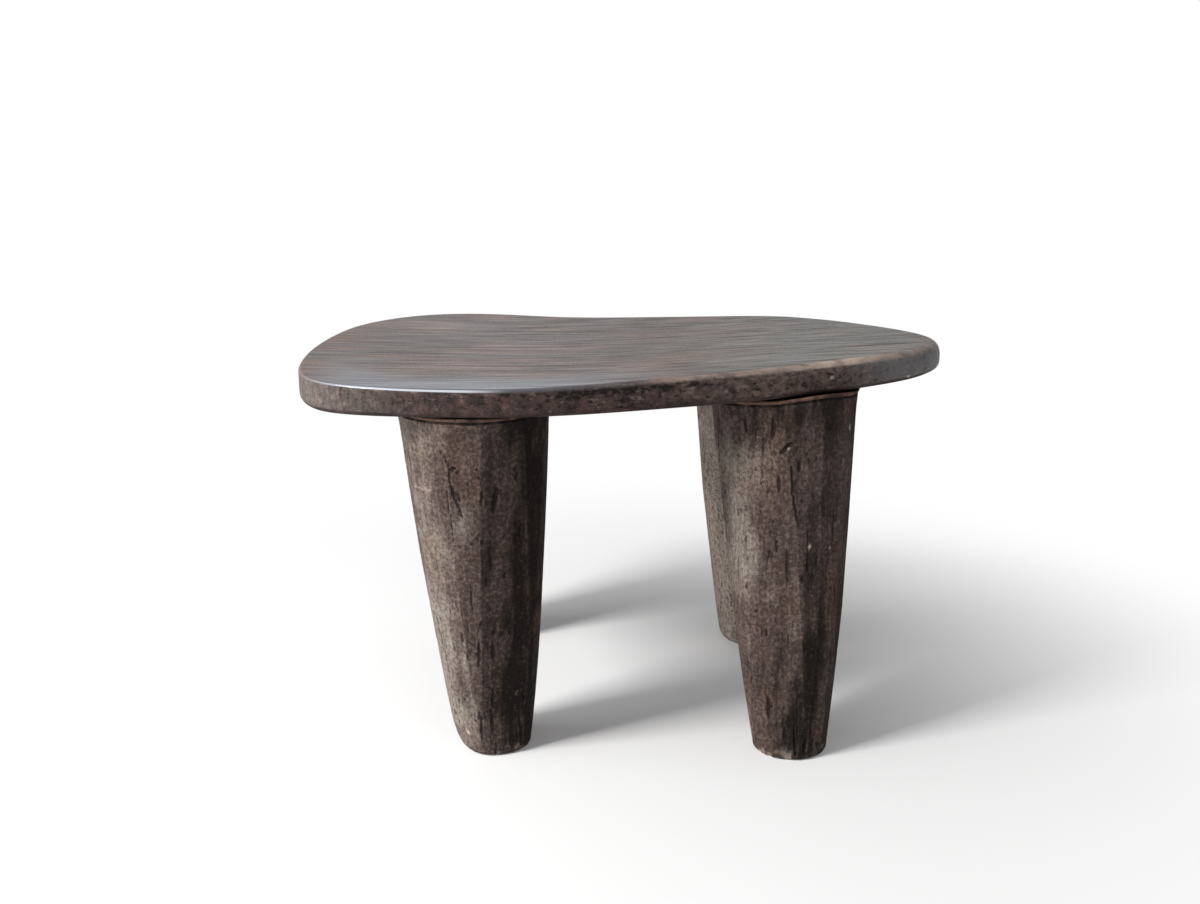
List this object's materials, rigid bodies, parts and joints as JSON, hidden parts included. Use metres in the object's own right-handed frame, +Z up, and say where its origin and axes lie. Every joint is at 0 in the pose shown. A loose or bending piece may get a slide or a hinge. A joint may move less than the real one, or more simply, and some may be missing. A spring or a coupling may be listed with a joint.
{
  "type": "carved stool",
  "caption": "Low carved wooden stool: a bean-shaped, gently dished plank seat on thick, tapered, adzed legs let into its underside, used as a seat or a side table.",
  "frame": {"origin": "on the floor, under the middle of the seat's length and depth", "axes": "+X along the seat toward its narrow end, -Y toward its front, +Z up"},
  "size_m": [0.577, 0.393, 0.3528],
  "materials": {
    "seat_wood": "dark stained wood, hand polished to a satin sheen, with fine lengthwise grain and worn edges",
    "leg_wood": "dark weathered wood, matt and dusty, with adze facets, pits and drying cracks"
  },
  "bodies": {
    "root": {"seat": "seat_wood", "leg_front_broad": "leg_wood", "leg_rear_broad": "leg_wood", "leg_front_narrow": "leg_wood", "leg_rear_narrow": "leg_wood"}
  },
  "joints": []
}
